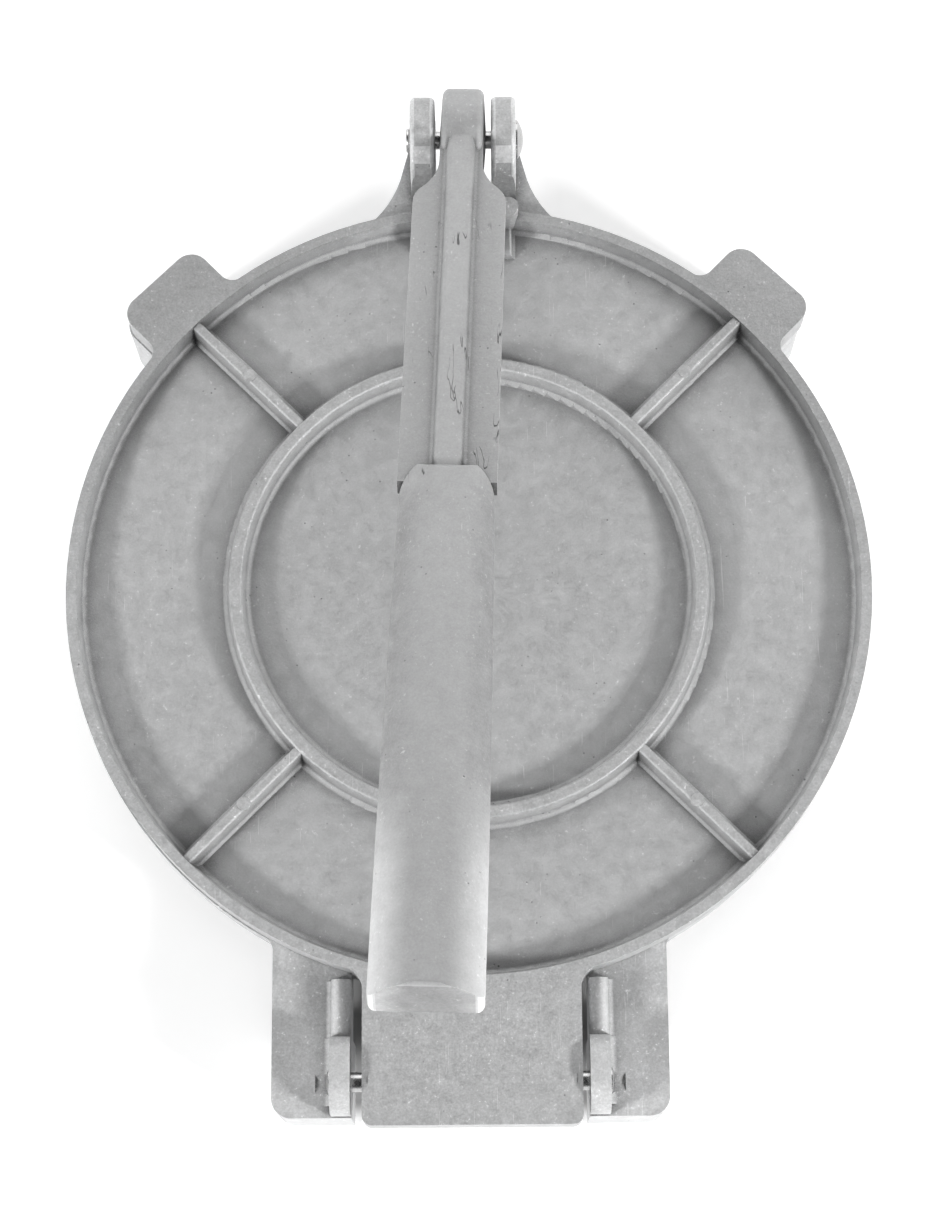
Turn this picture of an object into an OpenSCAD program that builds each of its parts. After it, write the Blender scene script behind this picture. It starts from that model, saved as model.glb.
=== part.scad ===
// Tortilla press in cast aluminium: two round plates hinged at the back, squeezed by a lever.
// Frame: +Z up, +Y towards the lever's fork, origin on the table under the plates' centre.

/* [Plates] */
// Outer diameter of both round plates
plate_d = 207; // [190:1:230]
// Thickness of each plate's floor
web_t = 3; // [2.4:0.1:4]
// Height of the rims and ribs over the floor
rim_h = 5.8; // [4.5:0.1:8]
// Width of the rim's flat top
rim_w = 2.6; // [2:0.1:4]
// Lean of cast walls, in degrees
draft = 10; // [4:1:14]
// Radius of the fillets at the foot of rims and ribs
foot_r = 1.5; // [0.8:0.1:2.2]
// Gap left between the pressing faces
press_gap = 0.3; // [0.1:0.1:1]
// Height of the lower pressing face over the table
base_h = 22; // [18:1:30]

/* [Ribs] */
// Mean radius of the round rib
ring_r = 60; // [50:1:68]
// Width of the round rib's top
ring_w = 3; // [2:0.1:4]
// Width of the straight ribs' top
rib_w = 2.4; // [1.6:0.1:3.6]
// Drop of the round rib below the rim
ring_drop = 0.1; // [0.1:0.1:1]
// Drop of the straight ribs below the round rib
rib_drop = 0.4; // [0.2:0.1:1.5]
// Radius along the ribs' top edges
rib_edge_r = 0.7; // [0.3:0.1:0.8]
// Diameter of the ejector pad on each straight rib
pad_d = 3.4; // [3:0.1:5]

/* [Tabs and legs] */
// Direction of the front tabs from the +X axis, in degrees
tab_angle = 45.6; // [35:0.1:55]
// Width of each tab
tab_w = 26.4; // [20:0.2:32]
// Reach of each tab past the plate's edge
tab_reach = 14; // [8:0.5:20]
// Radius of the tabs' and wings' corners
corner_r = 5; // [2:0.5:7]
// Radius where tabs and wings run into the plate
blend_r = 4; // [2:0.5:6]
// Thickness of legs and skirts
wall_t = 3; // [2.4:0.1:4]

/* [Rear hinge] */
// Distance from the plates' edge back to the hinge pin
hinge_reach = 22.9; // [18:0.1:30]
// Depth of the hinge pin below the upper rim's top
hinge_drop = 5; // [4:0.1:7]
// Diameter of both pins
pin_d = 4.8; // [4:0.1:6]
// Running clearance on the pin's radius
pin_fit = 0.05; // [0.02:0.01:0.1]
// Width of the upper plate's tongue
tongue_w = 54.3; // [44:0.1:62]
// Gap between the tongue and each ear
tongue_gap = 2.4; // [1.5:0.1:4]
// Reach of the tongue behind the pin
tongue_end = 11; // [7:0.1:12]
// Sideways play of the upper plate, taken up towards +X
plate_slip = 0.55; // [-1:0.05:1]
// Radius of the rear ears' rounded tops
knuckle_r = 8; // [7:0.1:9]
// Reach of the rear ears in front of the pin
ear_front = 11.2; // [9:0.1:13]
// Thickness of each rear ear
rear_ear_t = 5; // [4:0.1:8]
// Reach of the wings behind the pin
wing_end = 8.4; // [8.2:0.1:12]
// Length of the rear legs along the wings
rear_leg_l = 20; // [16:0.5:24]
// Overall width across the rear wings
wings_w = 99; // [92:1:110]
// Diameter of the recess round each end of the hinge pin
recess_d = 9.4; // [8:0.1:11]

/* [Fork] */
// Distance from the plates' edge forward to the lever pin
fork_reach = 18.3; // [16:0.1:26]
// Height of the lever pin over the upper rim's top
fork_rise = 3; // [1:0.5:6]
// Gap between the fork's ears
fork_gap = 15; // [13:0.5:18]
// Thickness of each fork ear
fork_ear_t = 6.5; // [5:0.1:9]
// Radius of the fork ears round the pin
fork_ear_r = 11.3; // [9:0.1:12]
// Radius of the upright corners at the ears' far end
fork_corner_r = 1.8; // [0.5:0.1:2.5]
// Width of the neck where it leaves the plate
neck_w = 42; // [36:1:56]
// Radius where the neck runs into the plate
neck_r = 29; // [4:1:32]

/* [Lever] */
// Rise of the closed lever towards its grip, in degrees
lever_rise = 20; // [18:0.5:24]
// Sideways lean of the lever from its drilled eye, in degrees
lever_lean = 1.95; // [0:0.05:2.2]
// Radius of the lever's head
head_r = 13.5; // [11.5:0.1:14]
// Width of the head across its middle
head_w = 12.5; // [11:0.1:13.4]
// Radius along the edges of the head
head_edge_r = 1.8; // [0.5:0.1:2.5]
// Width of the arm
arm_w = 24.1; // [20:0.1:28]
// Thickness of the arm's flange
arm_t = 5; // [4:0.1:7]
// Height of the flange's top over the pin's centre line
arm_top = 7.5; // [6:0.1:9]
// Width of the rib along the arm
arm_rib_w = 6.2; // [4:0.1:7]
// Height of that rib over the flange
arm_rib_h = 3; // [2:0.1:4]
// Distance from the pin to the start of the grip
grip_start = 117; // [100:1:130]
// Distance from the pin to the end of the grip
lever_l = 258; // [230:1:280]
// Width of the grip
grip_w = 25.4; // [22:0.1:30]
// Height of the grip
grip_h = 13.3; // [11:0.1:16]
// Distance from the pin to the pressing cam
cam_u = 26; // [25:0.1:27]
// Radius of the cam's nose
cam_r = 3.5; // [3:0.1:4]
// Width of the cam
cam_w = 15; // [10:0.5:20]

/* [Bearing block] */
// Width of the pad under the cam
block_w = 24.2; // [20:0.2:26]
// Height of the pad over the plate's floor
pad_h = 2.3; // [1:0.1:4]
// Distance from the plate's edge in to the pad's inner end
pad_reach = 12; // [10:0.5:16]
// Width of the ledge behind the pad
ledge_w = 27.8; // [26:0.2:32]
// Thickness of the ledge
ledge_t = 5.3; // [4:0.1:5.6]
// Height of the ledge over the upper rim
ledge_rise = 5.5; // [3:0.1:6]

/* [Pins] */
// Diameter of the lever pin's domed head
head_d = 10.3; // [8:0.1:12]
// Height of that head
head_h = 2.1; // [1:0.1:3]
// Diameter of the lever pin's rolled end
tail_d = 6.4; // [6:0.1:8]
// Height of the rolled end
tail_h = 1.2; // [0.6:0.1:1.5]
// Diameter of the hinge pin's peened ends
peen_d = 6.5; // [5.6:0.1:8]
// Height of the peened ends
peen_h = 1.2; // [0.8:0.1:2]

/* [Hidden] */
$fn = 96;
eps = 0.6;                                     // how far joined forms run into each other
sink = 0.12;                                   // how far fillets run under the face they meet

plate_r = plate_d / 2;
plate_t = web_t + rim_h;
rim_in = plate_r - 0.5;                        // where joined walls end inside the rim
ring_h = rim_h - ring_drop;
rib_h = ring_h - rib_drop;
upper_z = base_h + press_gap;                  // underside of the upper plate
top_z = upper_z + plate_t;                     // top of the upper rim
skirt_z = base_h - plate_t;                    // lower edge of the base's rim
hinge_y = plate_r + hinge_reach;
hinge_z = top_z - hinge_drop;
fork_y = plate_r + fork_reach;
fork_z = top_z + fork_rise;
bore_r = pin_d / 2 + pin_fit;

ear_in = tongue_w / 2 + tongue_gap;            // inner face of the rear ears
ear_out = ear_in + rear_ear_t;
wing_x = wings_w / 2;
rear_y = hinge_y + wing_end;                   // rear end of the wings
fork_in = fork_gap / 2;
fork_out = fork_in + fork_ear_t;
tab_end = plate_r + tab_reach;
ledge_end = plate_r + 0.8;                     // outer face of the bearing block's ledge
pad_z = upper_z + web_t + pad_h;
cam_v = (pad_z + press_gap + cam_r - fork_z - cam_u * sin(lever_rise)) / cos(lever_rise);
web_w = head_w - 7.2;                          // thickness of the web under the arm

cast = [0.74, 0.75, 0.76];
steel = [0.62, 0.63, 0.65];

// ---------- outlines shared by the castings ----------

// Tangent length of an arc of radius r in a corner of 90 + lean degrees
function tangent(r, lean) = r / tan((90 + lean) / 2);

module rounded_rect(w, l, r) {
    square([w - 2 * r, l], center = true);
    square([w, l - 2 * r], center = true);
    for (sx = [-1, 1], sy = [-1, 1])
        translate([sx * (w / 2 - r), sy * (l / 2 - r)]) circle(r);
}

// Fillet where a floor runs to one side (+1 or -1) of a leaning wall's foot
module foot_fillet(x, z, side, r = foot_r, lean = draft) {
    t = tangent(r, lean);
    back = side * (t * sin(lean) + eps);
    difference() {
        polygon([[x + side * t, z - eps], [x - back, z - eps], [x - back, z + t * cos(lean)],
                 [x - side * t * sin(lean), z + t * cos(lean)], [x + side * t, z]]);
        translate([x + side * t, z + r]) circle(r);
    }
}

// Section of a cast rib: rounded top edges, leaning flanks, filleted feet
module rib_section(w, h, edge = rib_edge_r, lean = draft, foot = foot_r) {
    t = tangent(edge, lean);
    base = w / 2 + h * tan(lean);
    difference() {
        polygon([[w / 2, h], [base, 0], [base, -eps], [-base, -eps], [-base, 0], [-w / 2, h]]);
        for (side = [-1, 1]) difference() {
            polygon([[side * (w / 2 - t), h - edge], [side * (w / 2 - t), h + eps],
                     [side * (w / 2 + eps), h + eps],
                     [side * (w / 2 + eps), h - t * cos(lean) - eps * sin(lean)],
                     [side * (w / 2 + t * sin(lean)), h - t * cos(lean)]]);
            translate([side * (w / 2 - t), h - edge]) circle(edge);
        }
    }
    for (side = [-1, 1]) foot_fillet(side * base, 0, side, foot, lean);
}

// Hollow corner between the plate's edge and a straight side.
// The side runs from point p in direction d; n points away from the solid.
module plate_fillet(p, d, n, r = blend_r) {
    edge = plate_r - sink;
    q = p + (r - sink / 4) * n;
    centre = q + (sqrt((q * d) * (q * d) - q * q + pow(edge + r, 2)) - q * d) * d;
    corner = p + (sqrt((p * d) * (p * d) - p * p + edge * edge) - p * d) * d;
    out = centre / norm(centre);
    difference() {
        polygon([centre, centre - (r + 1) * n, corner - n - out, (edge - 1) * out]);
        translate(centre) circle(r);
    }
}

// Section of a dished plate, floor downwards: floor, rim and round rib
module dish_section() {
    wall_x = plate_r - rim_w;
    foot_x = wall_x - rim_h * tan(draft);
    square([plate_r, web_t]);
    polygon([[wall_x, plate_t], [plate_r, plate_t], [plate_r, 0], [foot_x, 0], [foot_x, web_t]]);
    foot_fillet(foot_x, web_t, -1);
    translate([ring_r, web_t]) rib_section(ring_w, ring_h);
}

// Dished plate, lying on its flat face at z = 0
module dish() {
    rotate_extrude($fn = 180) dish_section();
    for (a = [45:90:315]) rotate([0, 0, a]) {
        translate([ring_r, 0, web_t - sink]) rotate([90, 0, 90])
            linear_extrude(plate_r - rim_w / 2 - ring_r) rib_section(rib_w, rib_h + sink);
        translate([(ring_r + plate_r) / 2 - 1, 0, web_t / 2])
            cylinder(d = pad_d, h = web_t / 2 + rib_h + sink);
    }
}

module tab_outline(w, reach, r) {
    inner = plate_r * 0.9;
    translate([(inner + reach) / 2, 0]) rounded_rect(reach - inner, w, r);
}

module tab_fillets() {
    for (side = [-1, 1])
        plate_fillet([0, side * tab_w / 2], [1, 0], [0, side]);
}

// Runs its children on both front tab directions, +X pointing outwards
module at_tabs() {
    for (a = [tab_angle, 180 - tab_angle]) rotate([0, 0, a]) children();
}

// Keeps its children out of the dish inside the rim
module outside_rim() {
    difference() {
        children();
        cylinder(r = plate_r - rim_w + 0.3, h = 4 * base_h, center = true);
    }
}

// A shallow tab, open below, with skirts all round; its flat face is at z = plate_t
module tab() {
    outside_rim() difference() {
        linear_extrude(plate_t) {
            tab_outline(tab_w, tab_end, corner_r);
            tab_fillets();
        }
        translate([0, 0, -eps]) linear_extrude(plate_t - web_t + eps) difference() {
            tab_outline(tab_w - 2 * wall_t, tab_end - wall_t, corner_r - wall_t + 1);
            circle(rim_in);
        }
    }
}

// Prism whose outline is drawn in the YZ plane, as wide as w, centred on x
module across(x, w) {
    translate([x - w / 2, 0, 0]) rotate([90, 0, 90]) linear_extrude(w) children();
}

module bore(x, w, y, z, r = bore_r) {
    translate([x - w / 2, y, z]) rotate([0, 90, 0]) cylinder(r = r, h = w);
}

// ---------- base plate ----------

module wing_outline(inset = 0) {
    x_in = ear_in + inset;
    x_out = wing_x - inset;
    y_in = plate_r * 0.8;
    y_out = rear_y - inset;
    translate([(x_in + x_out) / 2, -(y_in + y_out) / 2])
        rounded_rect(x_out - x_in, y_out - y_in, corner_r - inset);
    if (inset == 0) {
        translate([x_in, -y_out]) square([corner_r * 2, corner_r * 2]);
        plate_fillet([x_out, 0], [0, -1], [1, 0]);
    }
}

// Rear wing with its U-shaped leg, hinge ear, and the bead that stiffens the ear
module rear_wing() {
    difference() {
        union() {
            translate([0, 0, skirt_z]) linear_extrude(plate_t) wing_outline();
            linear_extrude(base_h - web_t) intersection() {
                wing_outline();
                translate([0, -rear_y]) square([2 * wing_x, rear_leg_l]);
            }
        }
        translate([0, 0, -eps]) linear_extrude(base_h - web_t + eps) difference() {
            wing_outline(wall_t);
            circle(rim_in);
        }
    }
    across(ear_in + rear_ear_t / 2, rear_ear_t) rear_ear_profile();
    bead_r = rear_ear_t / 2;
    translate([ear_in + bead_r, -plate_r + bead_r, base_h]) rotate([90, 0, 0])
        linear_extrude(hinge_y - plate_r) {
            translate([-bead_r, -eps]) square([2 * bead_r, eps + bead_r]);
            translate([0, bead_r]) circle(bead_r);
            foot_fillet(bead_r, 0, 1, foot_r, 0);
        }
}

// Rear ear from the side: a lug with a flat top, round at both ends
module rear_ear_profile() {
    l = ear_front - knuckle_r;
    for (y = [-hinge_y, -hinge_y + l]) translate([y, hinge_z]) circle(knuckle_r);
    translate([-hinge_y, hinge_z]) square([l, knuckle_r]);
    translate([-hinge_y - knuckle_r, skirt_z]) square([l + 2 * knuckle_r, hinge_z - skirt_z]);
}

// Fillet along the outer foot of a rear ear
module rear_ear_foot() {
    translate([0, -hinge_y + ear_front, base_h]) rotate([90, 0, 0])
        linear_extrude(ear_front + knuckle_r - corner_r / 2)
            foot_fillet(ear_out, 0, 1, foot_r * 1.4, 4);
}

module fork_ear_profile() {
    foot = fork_ear_r + 1;
    translate([fork_y, fork_z]) circle(fork_ear_r);
    polygon([[fork_y - fork_ear_r, fork_z], [fork_y - foot, base_h - eps], [fork_y - foot, skirt_z],
             [fork_y + foot, skirt_z], [fork_y + foot, base_h - eps], [fork_y + fork_ear_r, fork_z]]);
}

// Fork ear standing on the neck, its upright corners rounded at the far end
module fork_ear() {
    far = fork_y + fork_ear_r + 0.2;
    l = 3 * fork_ear_r;
    intersection() {
        across(fork_in + fork_ear_t / 2, 2 * fork_ear_t) fork_ear_profile();
        linear_extrude(fork_z + 2 * fork_ear_r) {
            translate([fork_in + fork_ear_t / 2, far - l / 2])
                rounded_rect(fork_ear_t, l, fork_corner_r);
        }
    }
}

// Neck from the plate's edge to the fork; it narrows to the ears' width
module neck_outline() {
    y_in = sqrt(plate_r * plate_r - neck_w * neck_w / 4);
    y_out = fork_y + fork_ear_r / 2;
    side = [fork_out - neck_w / 2, y_out - y_in] / norm([fork_out - neck_w / 2, y_out - y_in]);
    difference() {
        union() {
            polygon([[-neck_w / 2, y_in], [-fork_out, y_out], [-fork_out, fork_y + fork_ear_r],
                     [fork_out, fork_y + fork_ear_r], [fork_out, y_out], [neck_w / 2, y_in],
                     [0, plate_r * 0.9]]);
            for (m = [0, 1]) mirror([m, 0])
                plate_fillet([neck_w / 2, y_in] - 20 * side, side, [side[1], -side[0]], neck_r);
        }
        translate([-fork_in, fork_y - head_r - 2]) square([fork_gap, 4 * head_r]);
    }
}

// U-shaped leg under a front tab, open towards the plate
module front_leg() {
    linear_extrude(skirt_z + eps) difference() {
        tab_outline(tab_w, tab_end, corner_r);
        tab_outline(tab_w - 2 * wall_t, tab_end - wall_t, corner_r - wall_t + 1);
        circle(rim_in);
    }
}

module base_plate() {
    color(cast) difference() {
        union() {
            translate([0, 0, base_h]) mirror([0, 0, 1]) dish();
            at_tabs() {
                translate([0, 0, skirt_z]) tab();
                front_leg();
            }
            for (m = [0, 1]) mirror([m, 0, 0]) {
                outside_rim() rear_wing();
                rear_ear_foot();
                fork_ear();
            }
            outside_rim() translate([0, 0, skirt_z]) linear_extrude(plate_t) neck_outline();
        }
        bore(0, 2 * wings_w, -hinge_y, hinge_z);
        bore(0, 4 * fork_out, fork_y, fork_z);
        for (m = [0, 1]) mirror([m, 0, 0])
            bore(ear_out + 2, 4, -hinge_y, hinge_z, recess_d / 2);
    }
}

// ---------- upper plate ----------

// Tongue between the rear ears; its sides turn out into the rim in hollow corners
module tongue_outline(inset, corner) {
    y_in = plate_r * 0.9;
    y_out = hinge_y + tongue_end - inset;
    translate([0, -(y_in + y_out) / 2])
        rounded_rect(tongue_w - 2 * inset, y_out - y_in, corner);
}

// Tongue, open below, with its barrel round the pin; flat face at z = plate_t
module tongue() {
    outside_rim() difference() {
        linear_extrude(plate_t) {
            tongue_outline(0, corner_r / 2);
            for (m = [0, 1]) mirror([m, 0])
                plate_fillet([tongue_w / 2, 0], [0, -1], [1, 0], blend_r * 1.5);
        }
        translate([0, 0, -eps]) linear_extrude(plate_t - web_t + eps) difference() {
            tongue_outline(wall_t, 1);
            circle(rim_in);
            translate([-wall_t / 2, -2 * plate_r]) square([wall_t, 2 * plate_r]);
        }
    }
}

module tongue_barrel() {
    barrel_r = pin_d / 2 + 2.8;
    across(0, tongue_w - wall_t) translate([-hinge_y, hinge_z]) {
        circle(barrel_r);
        translate([-barrel_r, 0]) square([2 * barrel_r, hinge_drop - web_t / 2]);
    }
}

// Block on the plate's floor that takes the cam: a low pad and a taller outer ledge
module bearing_block() {
    floor_z = upper_z + web_t;
    ledge_y = ledge_end - ledge_t;
    pad_end = plate_r - pad_reach;
    foot_end = pad_end - pad_h * tan(draft);
    intersection() {
        translate([0, ledge_y + 2, floor_z - sink]) rotate([90, 0, 0])
            linear_extrude(ledge_y) rib_section(block_w, pad_h + sink);
        across(0, 2 * ledge_w) polygon([[pad_end, pad_z + 1], [pad_end, pad_z],
            [foot_end, floor_z], [foot_end, floor_z - 2],
            [ledge_y + 1, floor_z - 2], [ledge_y + 1, pad_z + 1]]);
    }
    translate([0, (ledge_y + ledge_end) / 2, floor_z - web_t / 2])
        linear_extrude(top_z + ledge_rise - floor_z + web_t / 2)
            rounded_rect(ledge_w, ledge_t, ledge_t / 2 - 0.1);
}

module upper_plate() {
    color(cast) translate([plate_slip, 0, 0]) difference() {
        union() {
            translate([0, 0, upper_z]) {
                dish();
                at_tabs() tab();
                tongue();
            }
            tongue_barrel();
            bearing_block();
        }
        bore(0, 2 * tongue_w, -hinge_y, hinge_z);
    }
}

// ---------- lever: x across, y along the arm from the pin, z up from the pin's centre ----------

// Arm from above: neck as wide as the head, hollow shoulders, straight sides
module arm_outline() {
    half = arm_w / 2;
    neck = head_w / 2 - 0.6;
    hollow_r = 13;
    nose_r = 7;
    reach = hollow_r + nose_r;
    hollow = [neck + hollow_r, head_r + 1.3];
    nose = hollow + [half - nose_r - hollow[0], sqrt(reach * reach - pow(hollow[0] - half + nose_r, 2))];
    touch = hollow + (nose - hollow) * hollow_r / reach;
    translate([-neck, 0]) square([2 * neck, hollow[1] + eps]);
    difference() {
        polygon([[-touch[0], hollow[1]], [-touch[0], touch[1]], [-nose[0], nose[1]],
                 [nose[0], nose[1]], [touch[0], touch[1]], [touch[0], hollow[1]]]);
        for (side = [-1, 1]) translate([side * hollow[0], hollow[1]]) circle(hollow_r);
    }
    for (side = [-1, 1]) translate([side * nose[0], nose[1]]) circle(nose_r);
    translate([-half, nose[1]]) square([arm_w, grip_start + 7 - nose[1]]);
}

// Flange of the arm with the rounded rib along its top
module arm() {
    l = grip_start + 4;
    intersection() {
        translate([0, l, 0]) rotate([90, 0, 0]) linear_extrude(l - head_r / 2) {
            translate([-arm_w, arm_top - arm_t]) square([2 * arm_w, arm_t]);
            translate([0, arm_top]) rib_section(arm_rib_w, arm_rib_h, 1.5, 15, 1);
        }
        linear_extrude(2 * arm_top) arm_outline();
    }
}

// Eye of the lever: a disc with coned faces and rounded edges
module lever_head() {
    middle = head_w / 2;
    rim = middle - 0.8;
    flat_r = head_r - head_edge_r;
    rotate([0, 90, 0]) rotate_extrude() {
        polygon([[0, -middle], [flat_r, -rim], [flat_r, rim], [0, middle]]);
        translate([flat_r - eps, head_edge_r - rim]) square([head_edge_r + eps, 2 * (rim - head_edge_r)]);
        for (side = [-1, 1]) translate([flat_r, side * (rim - head_edge_r)]) circle(head_edge_r);
    }
}

// Web under the arm, shallow over the ledge, deepest behind the cam
module arm_web() {
    z_in = arm_top - arm_t / 2;
    across(0, web_w) polygon([[head_r / 2, z_in], [head_r / 2, -1.5], [cam_u - 5, -1.5],
        [cam_u + cam_r, -4], [grip_start + 4, 0], [grip_start + 4, z_in]]);
}

// Nose that bears on the plate, on a stem hanging from the arm
module cam() {
    across(0, cam_w) {
        translate([cam_u, cam_v]) circle(cam_r);
        translate([cam_u - cam_r + 1, cam_v]) square([2 * cam_r - 1.2, arm_top - arm_t / 2 - cam_v]);
    }
}

// Half width of the grip at distance y from the pin: the sides swell gently to the end
function grip_half(y) = grip_w / 2 - 1.4 * pow((lever_l - y) / (lever_l - grip_start), 2);

module grip_plan() {
    steps = 8;
    in_r = 8;
    out_r = 2;
    y0 = grip_start + in_r;
    y1 = lever_l - out_r;
    ys = [for (i = [0:steps]) y0 + (y1 - y0) * i / steps];
    polygon(concat([for (y = ys) [grip_half(y), y]],
                   [for (i = [steps:-1:0]) [-grip_half(ys[i]), ys[i]]]));
    for (side = [-1, 1]) {
        translate([side * (grip_half(y0) - in_r), y0]) circle(in_r);
        translate([side * (grip_half(y1) - out_r), y1]) circle(out_r);
    }
    translate([-grip_half(y0) + in_r, grip_start]) square([2 * grip_half(y0) - 2 * in_r, in_r + 1]);
    translate([-grip_half(y1) + out_r, y1 - 1]) square([2 * grip_half(y1) - 2 * out_r, out_r + 1]);
}

// Section of the grip: flat below, low sides, arched top
module grip_section() {
    side_h = 5;
    arch = grip_h - side_h;
    r = (grip_w * grip_w / 4 + arch * arch) / (2 * arch);
    intersection() {
        translate([0, grip_h - r]) circle(r);
        translate([0, grip_h]) rounded_rect(grip_w + eps, 2 * grip_h, 1.5);
    }
}

module grip() {
    low = -1;
    start_r = 5;
    end_r = 1.4;
    intersection() {
        translate([0, lever_l + 1, low]) rotate([90, 0, 0])
            linear_extrude(lever_l - grip_start + 2) grip_section();
        translate([0, 0, low - 1]) linear_extrude(grip_h + 3) grip_plan();
        across(0, 2 * grip_w) {
            translate([grip_start, low - 1])
                square([lever_l - grip_start, grip_h + 1 - start_r]);
            translate([grip_start + start_r, low + grip_h - start_r]) circle(start_r);
            translate([grip_start + start_r, low + grip_h - start_r - 1])
                square([lever_l - end_r - grip_start - start_r, start_r + 2]);
            translate([lever_l - end_r, low + grip_h - end_r]) circle(end_r);
            translate([lever_l - end_r - 1, low + grip_h - start_r - 1])
                square([end_r + 1, start_r + 1 - end_r]);
        }
    }
}

module lever() {
    color(cast) difference() {
        translate([0, fork_y, fork_z]) rotate([-lever_rise, 0, 0]) rotate([0, 0, 180 - lever_lean]) {
            lever_head();
            arm();
            arm_web();
            cam();
            grip();
        }
        bore(0, 2 * fork_out, fork_y, fork_z);
    }
}

// ---------- pins ----------

// Half section of a domed head on an axis: z = 0 is the face it seats on
module dome_section(d, h, edge) {
    r = (d * d / 4 + pow(h - edge, 2)) / (2 * (h - edge));
    intersection() {
        translate([0, h - r]) circle(r);
        square([d / 2, h]);
    }
}

module hinge_pin() {
    color(steel) translate([0, -hinge_y, hinge_z]) rotate([0, 90, 0]) rotate_extrude() {
        translate([0, -ear_out - eps]) square([pin_d / 2, 2 * ear_out + 2 * eps]);
        for (m = [0, 1]) mirror([0, m]) translate([0, ear_out]) dome_section(peen_d, peen_h, 0.4);
    }
}

module lever_pin() {
    lip = tail_h / 2;
    color(steel) translate([0, fork_y, fork_z]) rotate([0, 90, 0]) rotate_extrude() {
        translate([0, -fork_out - lip]) square([pin_d / 2, 2 * fork_out + lip + eps]);
        translate([0, fork_out]) dome_section(head_d, head_h, 0.5);
        mirror([0, 1]) translate([0, fork_out]) {
            square([tail_d / 2 - lip, lip]);
            translate([tail_d / 2 - lip, lip]) circle(lip);
        }
    }
}

base_plate();
upper_plate();
lever();
hinge_pin();
lever_pin();
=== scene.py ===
import math

import bmesh
import bpy
from mathutils import Euler, Matrix, Vector


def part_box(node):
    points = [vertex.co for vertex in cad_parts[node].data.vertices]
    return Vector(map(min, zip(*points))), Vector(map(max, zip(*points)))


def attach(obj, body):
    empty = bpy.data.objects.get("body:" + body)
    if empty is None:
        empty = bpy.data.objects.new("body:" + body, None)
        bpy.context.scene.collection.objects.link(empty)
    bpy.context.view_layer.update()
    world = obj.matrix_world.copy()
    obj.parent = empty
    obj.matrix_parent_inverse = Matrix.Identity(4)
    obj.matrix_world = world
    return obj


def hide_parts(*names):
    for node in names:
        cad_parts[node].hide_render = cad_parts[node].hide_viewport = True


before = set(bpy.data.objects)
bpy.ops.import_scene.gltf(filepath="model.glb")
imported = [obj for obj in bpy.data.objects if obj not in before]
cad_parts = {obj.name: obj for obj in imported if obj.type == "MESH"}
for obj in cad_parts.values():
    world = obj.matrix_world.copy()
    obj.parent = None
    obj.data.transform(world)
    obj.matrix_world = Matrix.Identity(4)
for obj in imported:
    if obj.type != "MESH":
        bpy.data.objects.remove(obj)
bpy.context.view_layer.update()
MM = 0.001


# ---------- places on the press, in metres ----------

def middle_of(node):
    low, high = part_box(node)
    return (Vector(low) + Vector(high)) / 2


lever_pin = middle_of("lever_pin")
hinge_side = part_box("base_plate")[0][1]
grip_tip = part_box("lever")[0][1]

# How far the lever leans to one side from the fork to its grip
LEVER_LEAN = math.radians(1.95)
# Where, along Y, the grip ends and its flange starts, and where the flange narrows to its neck
GRIP_TOP = 12 * MM
FLANGE_TOP = 85 * MM
# Hands reach what lies above these heights: all but the feet of the base, the tops of the upper
# plate's rim and ribs, and the whole lever
BASE_HANDLED = 15 * MM
UPPER_HANDLED = 30.2 * MM
LEVER_HANDLED = 0.0


# ---------- camera, over the grip and a little behind the hinge ----------

CAMERA_PLACE = Vector((0.00467, -0.19336, 0.72223))
# Degrees about X, Y and Z from looking straight down
CAMERA_TURN = (15.1111, 0.4334, -0.4395)
IMAGE_HEIGHT = 1215.0
FOCAL_LENGTH = 2794.62
SENSOR = 36.0


def place_camera():
    """Its focal length is in pixels of the 940 x 1215 image; the sensor is in millimetres."""
    data = bpy.data.cameras.new("camera")
    data.sensor_fit = "AUTO"
    data.sensor_width = SENSOR
    data.lens = FOCAL_LENGTH * SENSOR / IMAGE_HEIGHT
    data.clip_start = 0.05
    data.clip_end = 20.0
    camera = bpy.data.objects.new("camera", data)
    turn = Euler([math.radians(angle) for angle in CAMERA_TURN]).to_matrix().to_4x4()
    camera.matrix_world = Matrix.Translation(CAMERA_PLACE) @ turn
    bpy.context.scene.collection.objects.link(camera)
    bpy.context.scene.camera = camera


# ---------- shader maths ----------

class Wire:
    """A shader socket that is worked on with Python's own operators."""

    def __init__(self, shop, socket):
        self.shop = shop
        self.socket = socket

    def _maths(self, operation, *others):
        return self.shop.add("ShaderNodeMath", {"operation": operation}, (self, *others))

    def __add__(self, other):
        return self._maths("ADD", other)

    def __radd__(self, other):
        return self._maths("ADD", other)

    def __sub__(self, other):
        return self._maths("SUBTRACT", other)

    def __rsub__(self, other):
        return self.shop.add("ShaderNodeMath", {"operation": "SUBTRACT"}, (other, self))

    def __mul__(self, other):
        return self._maths("MULTIPLY", other)

    def __rmul__(self, other):
        return self._maths("MULTIPLY", other)

    def __pow__(self, other):
        return self._maths("POWER", other)

    def most(self, other):
        return self._maths("MAXIMUM", other)

    def size(self):
        return self._maths("ABSOLUTE")

    def clamped(self):
        return self.shop.add("ShaderNodeClamp", {}, (self, 0.0, 1.0))

    def ramp(self, low, high):
        """0 below low, 1 above high, smooth between."""
        return self.shop.add(
            "ShaderNodeMapRange",
            {"interpolation_type": "SMOOTHSTEP"},
            {"Value": self, "From Min": low, "From Max": high},
        )

    def inside(self, low, high, soft):
        """1 between low and high, fading to 0 over the soft margin outside them."""
        return self.ramp(low - soft, low) * (1.0 - self.ramp(high, high + soft))


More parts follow.
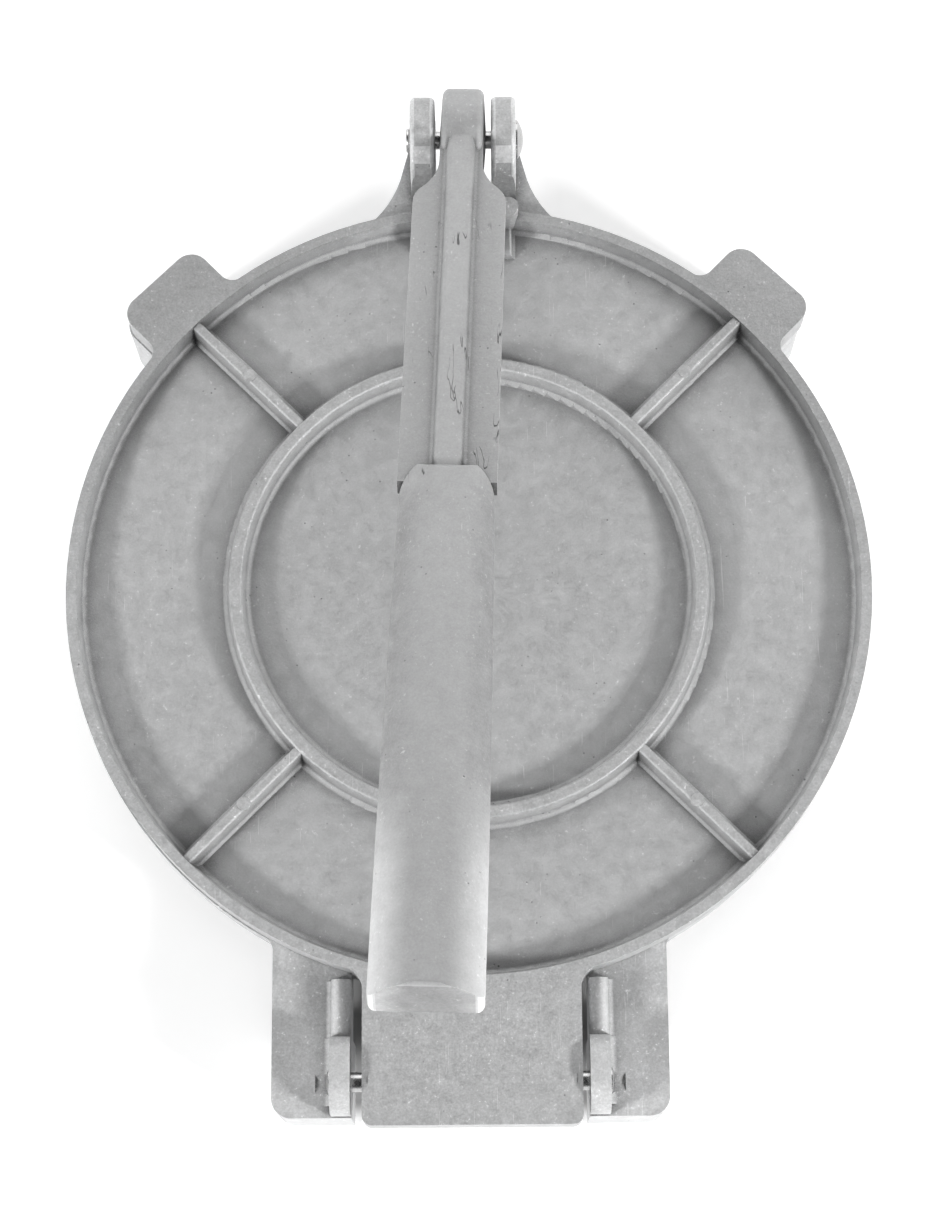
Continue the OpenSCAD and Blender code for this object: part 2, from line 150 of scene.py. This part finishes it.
class Shop:
    """Builds the nodes of one material, or of the world, round its shader."""

    def __init__(self, owner, shader="Principled BSDF"):
        owner.use_nodes = True
        self.owner = owner
        self.tree = owner.node_tree
        self.shader = self.tree.nodes[shader]

    def add(self, kind, settings=None, inputs=None, output=0):
        """One node: its type, its settings, then the values or wires of its sockets."""
        node = self.tree.nodes.new(kind)
        for key, value in (settings or {}).items():
            setattr(node, key, value)
        pairs = inputs.items() if isinstance(inputs, dict) else enumerate(inputs or ())
        for key, value in pairs:
            self.join(node.inputs[key], value)
        return Wire(self, node.outputs[output])

    def join(self, socket, value):
        if isinstance(value, Wire):
            self.tree.links.new(value.socket, socket)
        elif value is not None:
            socket.default_value = value

    def set(self, **sockets):
        for key, value in sockets.items():
            self.join(self.shader.inputs[key.replace("_", " ")], value)

    def place(self, kind="Object"):
        return self.add("ShaderNodeTexCoord", {}, (), kind)

    def along(self, where, axis):
        return self.add("ShaderNodeSeparateXYZ", {}, (where,), axis)

    def painted(self, name):
        """A number that the mesh carries on its faces."""
        return self.add("ShaderNodeAttribute", {"attribute_name": name}, (), "Fac")

    def noise(self, where, scale, detail=3.0, roughness=0.55, distortion=0.0):
        return self.add("ShaderNodeTexNoise", {}, {
            "Vector": where, "Scale": scale, "Detail": detail,
            "Roughness": roughness, "Distortion": distortion,
        })

    def cells(self, where, scale):
        return self.add("ShaderNodeTexVoronoi", {}, {"Vector": where, "Scale": scale}, "Distance")

    def open_to_air(self, reach):
        """1 on an open face, falling where the piece's own walls within reach crowd it."""
        return self.add("ShaderNodeAmbientOcclusion", {"samples": 6, "only_local": True},
                        {"Distance": reach}, "AO")

    def blend(self, factor, low, high):
        return self.add("ShaderNodeMix", {"data_type": "RGBA"}, {0: factor, 6: low, 7: high}, 2)

    def stretched(self, where, size, turn=0.0):
        return self.add("ShaderNodeMapping", {}, {
            "Vector": where, "Rotation": (0.0, 0.0, turn), "Scale": size,
        })

    def bump(self, height, strength, distance, under=None):
        return self.add("ShaderNodeBump", {}, {
            "Strength": strength, "Distance": distance, "Height": height, "Normal": under,
        })


def grey(level, warmth=0.0):
    return (level + warmth, level, level - warmth, 1.0)


# ---------- finishes ----------

def scratches(shop, where, turn, scale, thin):
    """Fine straight marks that run one way, broken into short lengths."""
    lines = shop.stretched(where, (scale, scale * 0.035, scale), turn)
    streak = shop.noise(lines, 1.0, 2.0, 0.6)
    broken = shop.noise(where, 26.0, 2.0, 0.5)
    return streak.ramp(thin, thin + 0.02) * broken.ramp(0.52, 0.6)


def hairlines(shop, where, near, far):
    """Short dark lines along Y, left between near and far where two flows of metal met."""
    flow = shop.noise(shop.stretched(where, (330.0, 42.0, 90.0)), 1.0, 2.0, 0.55, 0.5)
    line = 1.0 - (flow - 0.5).size().ramp(0.0, 0.014)
    patch = shop.noise(shop.stretched(where, (150.0, 70.0, 150.0)), 1.0, 1.0).ramp(0.58, 0.66)
    return line * patch * shop.along(where, "Y").inside(near, far, 10 * MM)


def grip_flank_highlight_and_shade(shop, where):
    """The grip's flanks: a painted highlight near its tip and painted shade further up."""
    deep = shop.along(where, "Y")
    middle_line = math.tan(LEVER_LEAN) * (lever_pin.y - deep)
    off_centre = (shop.along(where, "X") + middle_line).size()
    on_grip = 1.0 - deep.ramp(GRIP_TOP - 10 * MM, GRIP_TOP)
    flank = off_centre.ramp(3.5 * MM, 12.5 * MM) * on_grip
    toward_tip = 1.0 - deep.ramp(grip_tip + 26 * MM, grip_tip + 60 * MM)
    return flank * (0.26 * toward_tip - 0.10)


def cast_aluminium(name, level, speckle, handled_above, lever=False):
    """Sand-cast metal: cloudy, grained and pitted, lighter where it is worn, partly as a painted
    highlight, and darker in its corners as painted shade.

    level is how bright the metal is and speckle how coarse its grain looks. Faces higher than
    handled_above carry the most speckle. The lever also has its hairlines, and a painted highlight and
    painted shade on its grip's flanks.
    """
    shop = Shop(bpy.data.materials.new(name))
    here = shop.place()
    cloud = shop.noise(here, 22.0, 4.0, 0.6)
    mottle = shop.noise(here, 230.0, 5.0, 0.7)
    grain = shop.noise(here, 900.0, 4.0, 0.7)
    sand = shop.noise(here, 1900.0, 2.0, 0.6)
    handled = 0.45 + 0.55 * shop.along(here, "Z").ramp(handled_above - 1 * MM, handled_above)
    # These marked faces are lighter and smoother: partly wear, partly a painted highlight.
    wear_and_highlight = shop.painted("wear_and_highlight") * shop.noise(here, 260.0, 3.0, 0.6).ramp(0.20, 0.55)
    # These marked faces are rougher and darker: partly a dull finish, partly painted shade.
    dull_and_shade = shop.painted("dull_and_shade") * shop.noise(here, 120.0, 4.0, 0.6).ramp(0.15, 0.55)
    # Painted shade: darker, and rougher, where the piece's own walls crowd a face, in corners and
    # recesses.
    corner_shade = 1.0 - shop.open_to_air(7 * MM).ramp(0.35, 0.95)

    pits = 1.0 - shop.cells(here, 420.0).ramp(0.03, 0.15)
    pits = pits * shop.noise(here, 95.0, 2.0).ramp(0.54, 0.68)
    # Painted glints: bright flecks put into the colour, which are also smoother.
    glints = grain.ramp(0.60, 0.70) * shop.noise(here, 150.0, 4.0, 0.7).ramp(0.44, 0.62) * handled
    marks = scratches(shop, here, 0.5, 1500.0, 0.70).most(
        scratches(shop, here, -0.7, 1700.0, 0.71)).most(
        scratches(shop, here, 1.35, 1400.0, 0.715))

    tone = level + 0.09 * (cloud - 0.5) + 0.24 * (mottle - 0.5)
    tone = tone + speckle * handled * (0.6 * (grain - 0.5) + 0.4 * (sand - 0.5))
    tone = tone + 0.42 * wear_and_highlight + 0.5 * speckle * glints + 0.10 * marks - 0.22 * pits
    tone = tone - 0.38 * corner_shade - 0.26 * dull_and_shade
    rough = 0.75 + 0.25 * (mottle - 0.5) + 0.30 * (grain - 0.5)
    rough = rough - 0.24 * wear_and_highlight - 0.4 * speckle * glints - 0.10 * marks + 0.15 * pits
    rough = rough + 0.12 * (corner_shade + dull_and_shade)
    dents = pits
    if lever:
        lines = hairlines(shop, here, GRIP_TOP, FLANGE_TOP)
        # Painted highlight near the grip's tip and painted shade further up its flanks.
        tone = tone - 0.34 * lines + grip_flank_highlight_and_shade(shop, here)
        dents = pits.most(lines)
    base = shop.blend(tone.clamped(), grey(0.0), grey(1.0, -0.004))
    shop.set(Base_Color=base, Metallic=1.0, Roughness=rough.clamped())

    skin = shop.bump(grain, 0.30, 0.16 * MM)
    skin = shop.bump(mottle, 0.35, 0.4 * MM, skin)
    skin = shop.bump(sand * handled, 0.25, 0.1 * MM, skin)
    skin = shop.bump(1.0 - dents, 0.5, 0.2 * MM, skin)
    shop.set(Normal=skin)
    return shop.owner


def pin_steel():
    """Drawn wire, darker and much smoother than the castings, with faint rings and stains."""
    shop = Shop(bpy.data.materials.new("pin_steel"))
    here = shop.place()
    rings = shop.noise(shop.stretched(here, (1400.0, 90.0, 90.0)), 1.0, 3.0, 0.6)
    stain = shop.noise(here, 240.0, 3.0, 0.6)
    tone = 0.52 + 0.20 * (stain - 0.5) + 0.12 * (rings - 0.5)
    rough = 0.27 + 0.2 * (stain - 0.5)
    shop.set(Base_Color=shop.blend(tone.clamped(), grey(0.0), grey(1.0)), Metallic=1.0,
             Roughness=rough.clamped(), Normal=shop.bump(rings, 0.25, 0.1 * MM))
    return shop.owner


def table_white():
    """A pale table that glows a little, more so far off.

    Straight under the press it is painted darker and doesn't glow, or its own light would
    fill the shade there.
    """
    shop = Shop(bpy.data.materials.new("table_white"))
    here = shop.place()
    across = shop.along(here, "X")
    deep = shop.along(here, "Y")
    radius = (across * across + deep * deep) ** 0.5
    plate = 1.0 - radius.ramp(82 * MM, 96 * MM)
    hinge = across.inside(-40 * MM, 40 * MM, 5 * MM)
    hinge = hinge * deep.inside(hinge_side + 6 * MM, 0.0, 6 * MM)
    shade = plate.most(hinge).clamped()
    glow = shop.blend(radius.ramp(0.35, 1.3), grey(0.40), grey(0.85))
    shop.set(Base_Color=shop.blend(shade, grey(0.8), grey(0.35)), Roughness=0.9,
             Emission_Color=shop.blend(shade, glow, grey(0.0)), Emission_Strength=1.0,
             Specular_IOR_Level=0.0)
    return shop.owner


# ---------- choosing edges and faces ----------

def sharp_edges(bm, chosen):
    corner = math.radians(38.0)
    return [edge for edge in bm.edges
            if len(edge.link_faces) == 2 and edge.calc_face_angle(0.0) > corner and chosen(edge)]


def anywhere(edge):
    return True


def from_lever_pin(place):
    return math.hypot(place.y - lever_pin.y, place.z - lever_pin.z)


def on_fork_ears(edge):
    """The outlines of the two ears round the lever's pin, but not of the holes through them."""
    return all(v.co.z > lever_pin.z - 4 * MM and v.co.y > lever_pin.y - 20 * MM
               and from_lever_pin(v.co) > 8 * MM for v in edge.verts)


def ear_fronts(least, most):
    """Picks the ears' round faces by how much they face the plate: 0 on top, 1 where they are steep."""

    def chosen(face):
        middle = face.calc_center_median()
        outer = from_lever_pin(middle) > 9 * MM and middle.z > lever_pin.z - 12 * MM
        on_fork = middle.y > lever_pin.y - 20 * MM and abs(middle.x) < 20 * MM
        round_side = face.normal.z > -0.2 and abs(face.normal.x) < 0.2
        return outer and on_fork and round_side and least < -face.normal.y <= most
    return chosen


def grip_end(face):
    """The flat end of the grip."""
    return face.normal.y < -0.88 and face.calc_area() > 20 * MM * MM


def grip_end_edge(face):
    """The rounding between the grip's end and its crown."""
    near_tip = all(v.co.y < grip_tip + 3.5 * MM for v in face.verts)
    return -0.90 < face.normal.y < -0.20 and near_tip


# ---------- pieces ----------

def soften(node, roundings, marks, body, finish):
    """A cast node's copy with its sharp edges rounded, and wear, painted highlights and painted shade
    marked on its faces.

    A rounding is (which edges, width, segments, whether it stops at its neighbours, how much
    wear and painted highlight it carries). A mark is (what it is, which faces, how much) and goes over
    the roundings.
    """
    bm = bmesh.new()
    bm.from_mesh(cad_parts[node].data)
    bmesh.ops.remove_doubles(bm, verts=bm.verts[:], dist=1e-6)
    bmesh.ops.dissolve_degenerate(bm, edges=bm.edges[:], dist=2e-6)
    bmesh.ops.dissolve_limit(bm, angle_limit=math.radians(0.6), verts=bm.verts[:], edges=bm.edges[:])
    paint = {name: bm.faces.layers.float.new(name) for name in ("wear_and_highlight", "dull_and_shade")}
    for chosen, width, segments, clamped, wear_and_highlight_amount in roundings:
        made = bmesh.ops.bevel(bm, geom=sharp_edges(bm, chosen), offset=width, offset_type="OFFSET",
                               segments=segments, profile=0.5, affect="EDGES", clamp_overlap=clamped,
                               material=-1)
        # The rounded faces carry wear and a painted highlight.
        for face in made["faces"]:
            face[paint["wear_and_highlight"]] = wear_and_highlight_amount
    for name, chosen, amount in marks:
        for face in filter(chosen, bm.faces):
            face[paint[name]] = amount
    bmesh.ops.triangulate(bm, faces=bm.faces[:])
    mesh = bpy.data.meshes.new(node + "_cast")
    bm.to_mesh(mesh)
    bm.free()
    mesh.polygons.foreach_set("use_smooth", [True] * len(mesh.polygons))
    mesh.materials.append(finish)
    piece = bpy.data.objects.new(node + "_cast", mesh)
    bpy.context.scene.collection.objects.link(piece)
    weights = piece.modifiers.new("even shading", "WEIGHTED_NORMAL")
    weights.keep_sharp = True
    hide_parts(node)
    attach(piece, body)


def repaint(node, finish):
    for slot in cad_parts[node].material_slots:
        slot.material = finish


def make_base_plate():
    ears = (on_fork_ears, 1.2 * MM, 3, False, 0.1)
    edges = (anywhere, 0.5 * MM, 2, True, 1.0)
    # Painted light on the ears by how their faces turn: painted shade on their tops and steep fronts, a
    # painted highlight on the band between.
    marks = [("dull_and_shade", ear_fronts(-1.0, 0.5), 0.4), ("wear_and_highlight", ear_fronts(0.5, 0.8), 0.35),
             ("dull_and_shade", ear_fronts(0.8, 1.0), 0.55)]
    soften("base_plate", [ears, edges], marks, "base",
           cast_aluminium("base_casting", 0.64, 0.60, BASE_HANDLED))


def make_upper_plate():
    edges = (anywhere, 0.5 * MM, 2, True, 1.0)
    soften("upper_plate", [edges], [], "upper",
           cast_aluminium("upper_casting", 0.545, 0.58, UPPER_HANDLED))


def make_lever():
    edges = (anywhere, 0.9 * MM, 3, True, 1.0)
    # Painted shade on the grip's flat end and a painted highlight on the rounding round it.
    marks = [("dull_and_shade", grip_end, 0.5), ("wear_and_highlight", grip_end_edge, 0.45)]
    soften("lever", [edges], marks, "lever",
           cast_aluminium("lever_casting", 0.48, 0.28, LEVER_HANDLED, lever=True))


def make_pins():
    steel = pin_steel()
    repaint("hinge_pin", steel)
    repaint("lever_pin", steel)


# ---------- table and lights ----------

def lay_table():
    bm = bmesh.new()
    bmesh.ops.create_grid(bm, x_segments=1, y_segments=1, size=6.0)
    mesh = bpy.data.meshes.new("table")
    bm.to_mesh(mesh)
    bm.free()
    table = bpy.data.objects.new("table", mesh)
    bpy.context.scene.collection.objects.link(table)
    mesh.materials.append(table_white())


def round_the_press(compass, height, distance):
    """A place seen from the middle of the plate.

    The angles are in degrees: 0 is right, 90 is the lever's fork. The distance is in metres.
    """
    around, up = math.radians(compass), math.radians(height)
    flat = distance * math.cos(up)
    return Vector((flat * math.cos(around), flat * math.sin(around), distance * math.sin(up)))


def lamp(name, place, size, glow):
    """A soft box of the given size in metres, aimed at the plate; glow is how bright its face is."""
    data = bpy.data.lights.new(name, "AREA")
    data.shape = "RECTANGLE"
    data.size, data.size_y = size
    data.energy = glow * math.pi * size[0] * size[1]
    light = bpy.data.objects.new(name, data)
    light.location = place
    plate = Vector((0.0, 0.0, 20 * MM))
    light.rotation_euler = (plate - place).to_track_quat("-Z", "Y").to_euler()
    bpy.context.scene.collection.objects.link(light)


def light_studio():
    """Two low soft boxes beside the viewer, a backdrop past the fork, pale walls and a dark ceiling."""
    world = bpy.data.worlds.new("studio")
    bpy.context.scene.world = world
    shop = Shop(world, "Background")
    ceiling = shop.along(shop.place("Generated"), "Z").ramp(0.16, 0.42)
    shop.set(Color=grey(1.0), Strength=0.7 - 0.68 * ceiling)
    lamp("near left", round_the_press(211, 27, 1.8), (0.24, 0.24), 140.0)
    lamp("near right", round_the_press(327, 27, 1.8), (0.24, 0.24), 168.0)
    lamp("backdrop", round_the_press(90, 32, 1.55), (2.8, 1.1), 2.3)


place_camera()
make_base_plate()
make_upper_plate()
make_lever()
make_pins()
lay_table()
light_studio()
bpy.context.scene.view_settings.view_transform = "Standard"
